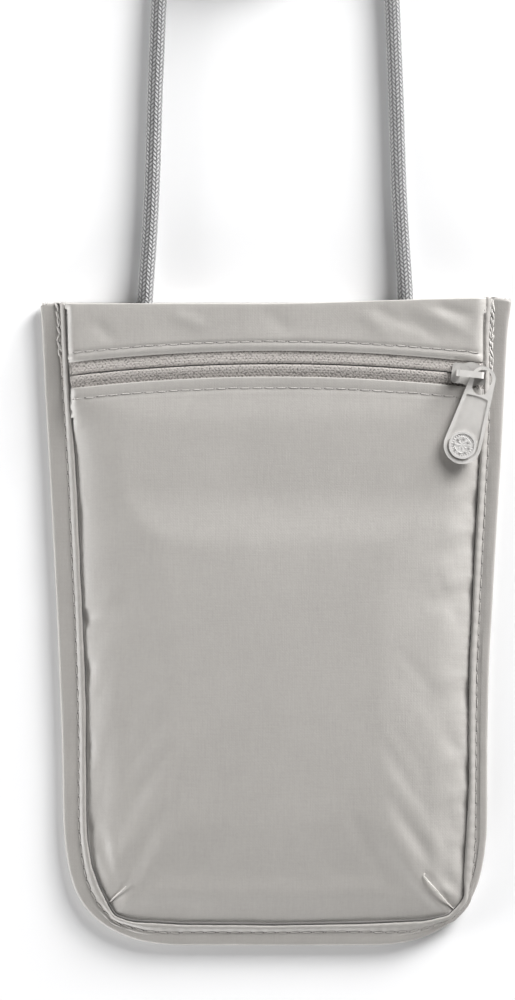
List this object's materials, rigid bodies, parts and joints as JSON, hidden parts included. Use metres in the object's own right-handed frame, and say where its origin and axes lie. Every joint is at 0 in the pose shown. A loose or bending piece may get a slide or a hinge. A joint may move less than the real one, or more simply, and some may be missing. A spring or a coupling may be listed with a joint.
{
  "type": "neck pouch wallet",
  "caption": "Flat fabric neck pouch with a bound edge, rounded bottom corners, an arched front zip with a teardrop pull, and a round braided neck cord sewn into the top hem.",
  "frame": {"origin": "middle of the pouch, on the surface it lies on with its front up", "axes": "+X to the wearer's left as the front is seen, the side the zip closes to; +Y up the pouch towards the neck cord; +Z out of the front face"},
  "size_m": [0.13, 0.332, 0.0106],
  "materials": {
    "pouch_fabric": "satin woven nylon",
    "shield_lining": "metallised woven lining",
    "binding_fabric": "satin woven tape",
    "zip_tape": "matt woven tape",
    "zip_coil": "satin",
    "painted_zip_metal": "semi-gloss paint",
    "pull_inlay": "satin paint",
    "pull_medallion": "semi-gloss paint",
    "thread": "twisted thread",
    "neck_cord": "braided"
  },
  "bodies": {
    "pouch": {"back_panel": "pouch_fabric", "back_lining": "shield_lining", "front_panel": "pouch_fabric", "front_lining": "shield_lining", "top_strip": "pouch_fabric", "binding_tape": "binding_fabric", "zip_tape_upper": "zip_tape", "zip_tape_lower": "zip_tape", "zip_coil_upper": "zip_coil", "zip_coil_lower": "zip_coil", "zip_stop_left": "thread", "zip_stop_right": "thread", "thread_zip_upper": "thread", "thread_zip_lower": "thread", "thread_binding_front": "thread", "thread_binding_back": "thread", "thread_backtack_left": "thread", "thread_backtack_right": "thread", "cord_anchor_left": "pouch_fabric", "cord_anchor_right": "pouch_fabric", "neck_cord_left": "neck_cord", "neck_cord_right": "neck_cord", "neck_cord_coil": "neck_cord"},
    "slider": {"slider_body": "painted_zip_metal", "slider_bridge": "painted_zip_metal"},
    "pull": {"pull_frame": "painted_zip_metal", "pull_inlay": "pull_inlay", "pull_medallion": "pull_medallion"}
  },
  "joints": [
    {"name": "zip_run", "type": "hinge", "parent": "pouch", "child": "slider", "pos_m": [0, -0.419, 0.0062], "axis": [0, 0, 1], "range_deg": [0, 12.4]},
    {"name": "pull_swing", "type": "hinge", "parent": "slider", "child": "pull", "pos_m": [0.057, 0.0673, 0.0086], "axis": [0, 0, 1], "range_deg": [-35, 200]}
  ]
}
